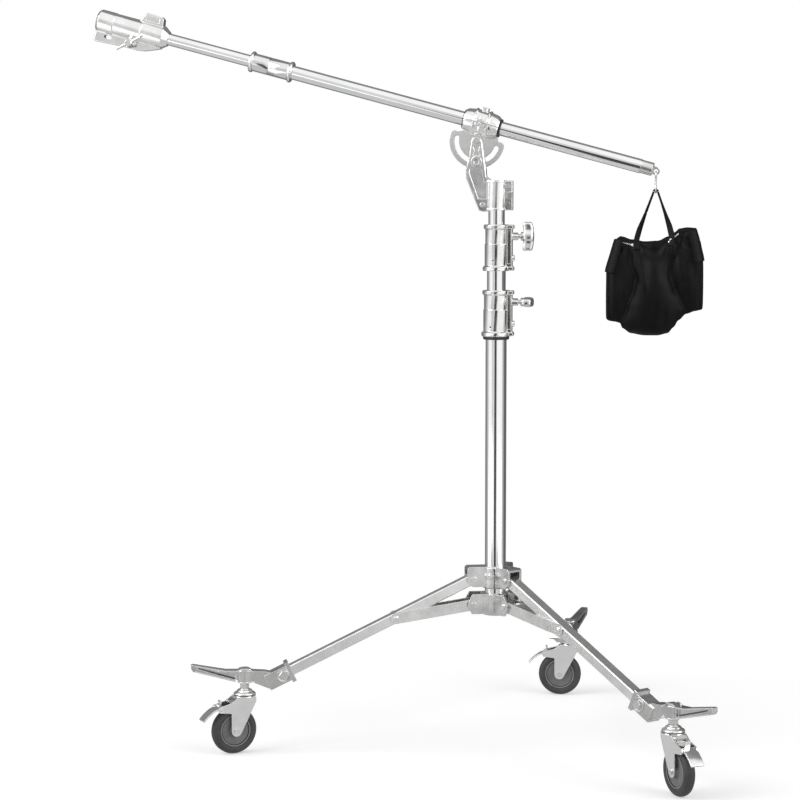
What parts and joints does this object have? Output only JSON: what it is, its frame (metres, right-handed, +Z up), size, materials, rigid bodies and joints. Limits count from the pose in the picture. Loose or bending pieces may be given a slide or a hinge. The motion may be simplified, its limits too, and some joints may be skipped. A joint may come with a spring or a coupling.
{
  "type": "wheeled boom light stand",
  "caption": "Light stand on a folding wheeled base, with a telescoping column, a tilting telescopic boom with a spigot receiver, and a sandbag hung from the boom's tail.",
  "frame": {"origin": "middle of the footprint at floor level", "axes": "+Z up along the column, +X the horizontal direction in which the boom's tail points, +Y to the left of that"},
  "size_m": [1.3532, 1.099, 1.5789],
  "materials": {
    "tube": "polished chrome-plated steel tube",
    "casting": "polished bright casting",
    "plated_steel": "bright zinc-plated pressed steel",
    "bolts": "plated steel",
    "black_rubber": "matte black rubber",
    "tyre_rubber": "dark grey solid rubber",
    "wheel_plastic": "grey moulded plastic",
    "bag_cloth": "black woven nylon",
    "webbing": "black nylon webbing"
  },
  "bodies": {
    "base": {"base_tube": "tube", "brace_hub": "casting", "base_collar": "casting", "collar_ring": "black_rubber"},
    "leg_hub": {"leg_hub": "casting"},
    "leg_left": {"leg_left": "tube", "foot_left": "casting", "foot_bolt_left": "bolts", "caster_stem_left": "plated_steel"},
    "leg_front": {"leg_front": "tube", "foot_front": "casting", "foot_bolt_front": "bolts", "caster_stem_front": "plated_steel"},
    "leg_back": {"leg_back": "tube", "foot_back": "casting", "foot_bolt_back": "bolts", "caster_stem_back": "plated_steel"},
    "brace_left": {"brace_left": "plated_steel"},
    "brace_front": {"brace_front": "plated_steel"},
    "brace_back": {"brace_back": "plated_steel"},
    "caster_left": {"caster_fork_left": "plated_steel", "axle_left": "bolts"},
    "caster_front": {"caster_fork_front": "plated_steel", "axle_front": "bolts"},
    "caster_back": {"caster_fork_back": "plated_steel", "axle_back": "bolts"},
    "wheel_left": {"wheel_core_left": "wheel_plastic", "tyre_left": "tyre_rubber"},
    "wheel_front": {"wheel_core_front": "wheel_plastic", "tyre_front": "tyre_rubber"},
    "wheel_back": {"wheel_core_back": "wheel_plastic", "tyre_back": "tyre_rubber"},
    "pedal_left": {"brake_pedal_left": "plated_steel"},
    "pedal_front": {"brake_pedal_front": "plated_steel"},
    "pedal_back": {"brake_pedal_back": "plated_steel"},
    "base_knob": {"base_knob": "casting"},
    "middle_section": {"middle_tube": "tube", "middle_collar": "casting"},
    "middle_knob": {"middle_knob": "casting"},
    "top_section": {"top_tube": "tube"},
    "head": {"tilt_bracket": "casting", "lug_bolt_lower": "bolts", "lug_bolt_upper": "bolts", "tilt_bolt": "bolts"},
    "tilt_lock": {"tilt_lock_handle": "bolts"},
    "boom_clamp": {"boom_saddle": "casting", "boom_cap": "casting", "clamp_gasket_head": "black_rubber", "clamp_gasket_tail": "black_rubber"},
    "boom": {"boom_outer_tube": "tube", "boom_lock_sleeve": "casting", "tail_cap": "tube"},
    "twist_nut": {"boom_twist_nut": "casting"},
    "inner_boom": {"boom_inner_tube": "tube", "receiver_head": "casting"},
    "receiver_screw": {"receiver_screw": "bolts"},
    "hook": {"sandbag_hook": "bolts"},
    "bag": {"sandbag": "bag_cloth", "bag_strap": "webbing"}
  },
  "joints": [
    {"name": "leg_hub_slide", "type": "slide", "parent": "base", "child": "leg_hub", "axis": [0, 0, 1], "range_m": [0, 0.2921]},
    {"name": "leg_fold_left", "type": "hinge", "parent": "leg_hub", "child": "leg_left", "pos_m": [0.14863, -0.10201, 0.361], "axis": [0.2874, -0.9578, 0], "range_deg": [0, 52.03]},
    {"name": "leg_fold_front", "type": "hinge", "parent": "leg_hub", "child": "leg_front", "pos_m": [0.23291, -0.12194, 0.361], "axis": [0.6858, 0.7278, 0], "range_deg": [0, 52.03]},
    {"name": "leg_fold_back", "type": "hinge", "parent": "leg_hub", "child": "leg_back", "pos_m": [0.20803, -0.03899, 0.361], "axis": [-0.9732, 0.23, 0], "range_deg": [0, 52.03]},
    {"name": "brace_fold_left", "type": "hinge", "parent": "base", "child": "brace_left", "pos_m": [0.14863, -0.10201, 0.3065], "axis": [-0.2874, 0.9578, 0], "range_deg": [0, 84.98]},
    {"name": "brace_fold_front", "type": "hinge", "parent": "base", "child": "brace_front", "pos_m": [0.23291, -0.12194, 0.3065], "axis": [-0.6858, -0.7278, 0], "range_deg": [0, 84.98]},
    {"name": "brace_fold_back", "type": "hinge", "parent": "base", "child": "brace_back", "pos_m": [0.20803, -0.03899, 0.3065], "axis": [0.9732, -0.23, 0], "range_deg": [0, 84.98]},
    {"name": "caster_swivel_left", "type": "hinge", "parent": "leg_left", "child": "caster_left", "pos_m": [-0.3207, -0.24282, 0.12], "axis": [0, 0, 1], "continuous": true},
    {"name": "caster_swivel_front", "type": "hinge", "parent": "leg_front", "child": "caster_front", "pos_m": [0.58952, -0.45799, 0.12], "axis": [0, 0, 1], "continuous": true},
    {"name": "caster_swivel_back", "type": "hinge", "parent": "leg_back", "child": "caster_back", "pos_m": [0.32075, 0.43787, 0.12], "axis": [0, 0, 1], "continuous": true},
    {"name": "wheel_spin_left", "type": "hinge", "parent": "caster_left", "child": "wheel_left", "pos_m": [-0.34128, -0.25702, 0.05], "axis": [0.5678, -0.8231, 0], "continuous": true},
    {"name": "wheel_spin_front", "type": "hinge", "parent": "caster_front", "child": "wheel_front", "pos_m": [0.6024, -0.47942, 0.05], "axis": [0.8572, 0.515, 0], "continuous": true},
    {"name": "wheel_spin_back", "type": "hinge", "parent": "caster_back", "child": "wheel_back", "pos_m": [0.29575, 0.43809, 0.05], "axis": [-0.0087, -1, 0], "continuous": true},
    {"name": "brake_left", "type": "hinge", "parent": "caster_left", "child": "pedal_left", "pos_m": [-0.36844, -0.27576, 0.098], "axis": [-0.5678, 0.8231, 0], "range_deg": [0, 18]},
    {"name": "brake_front", "type": "hinge", "parent": "caster_front", "child": "pedal_front", "pos_m": [0.6194, -0.5077, 0.098], "axis": [-0.8572, -0.515, 0], "range_deg": [0, 18]},
    {"name": "brake_back", "type": "hinge", "parent": "caster_back", "child": "pedal_back", "pos_m": [0.26276, 0.43838, 0.098], "axis": [0.0087, 1, 0], "range_deg": [0, 18]},
    {"name": "base_knob_turn", "type": "hinge", "parent": "base", "child": "base_knob", "pos_m": [0.22353, -0.08765, 0.9536], "axis": [1, 0, 0], "range_deg": [0, 360]},
    {"name": "middle_slide", "type": "slide", "parent": "base", "child": "middle_section", "axis": [0, 0, 1], "range_m": [-0.0405, 0.43]},
    {"name": "middle_knob_turn", "type": "hinge", "parent": "middle_section", "child": "middle_knob", "pos_m": [0.22353, -0.08765, 1.0926], "axis": [1, 0, 0], "range_deg": [0, 360]},
    {"name": "top_slide", "type": "slide", "parent": "middle_section", "child": "top_section", "axis": [0, 0, 1], "range_m": [-0.0265, 0.4]},
    {"name": "head_pan", "type": "hinge", "parent": "top_section", "child": "head", "pos_m": [0.19653, -0.08765, 1.18], "axis": [0, 0, 1], "continuous": true},
    {"name": "tilt_lock_turn", "type": "hinge", "parent": "head", "child": "tilt_lock", "pos_m": [0.15453, -0.08765, 1.2504], "axis": [0, 1, 0], "range_deg": [0, 180]},
    {"name": "boom_tilt", "type": "hinge", "parent": "head", "child": "boom_clamp", "pos_m": [0.15453, -0.08765, 1.2939], "axis": [0, 1, 0], "range_deg": [-60, 15]},
    {"name": "boom_slide", "type": "slide", "parent": "boom_clamp", "child": "boom", "axis": [0.9653, 0, -0.2612], "range_m": [-0.1, 0.377]},
    {"name": "twist_nut_turn", "type": "hinge", "parent": "boom", "child": "twist_nut", "pos_m": [0.16445, -0.08765, 1.33058], "axis": [0.9653, 0, -0.2612], "range_deg": [0, 180]},
    {"name": "inner_boom_slide", "type": "slide", "parent": "boom", "child": "inner_boom", "axis": [0.9653, 0, -0.2612], "range_m": [-0.3, 0.179]},
    {"name": "receiver_screw_turn", "type": "hinge", "parent": "inner_boom", "child": "receiver_screw", "pos_m": [-0.59438, -0.08765, 1.50482], "axis": [0, 1, 0], "range_deg": [0, 360]},
    {"name": "hook_swing", "type": "hinge", "parent": "boom", "child": "hook", "pos_m": [0.5317, -0.08765, 1.228], "axis": [0, 1, 0], "range_deg": [-25, 37]},
    {"name": "bag_swing", "type": "hinge", "parent": "hook", "child": "bag", "pos_m": [0.5317, -0.08765, 1.185], "axis": [0, -1, 0], "range_deg": [-20, 20]}
  ],
  "couplings": [
    {"joint": "leg_fold_left", "follows": "leg_hub_slide", "rad_per_m": 3.1083},
    {"joint": "leg_fold_front", "follows": "leg_hub_slide", "rad_per_m": 3.1083},
    {"joint": "leg_fold_back", "follows": "leg_hub_slide", "rad_per_m": 3.1083},
    {"joint": "brace_fold_left", "follows": "leg_hub_slide", "rad_per_m": 5.0772},
    {"joint": "brace_fold_front", "follows": "leg_hub_slide", "rad_per_m": 5.0772},
    {"joint": "brace_fold_back", "follows": "leg_hub_slide", "rad_per_m": 5.0772}
  ]
}
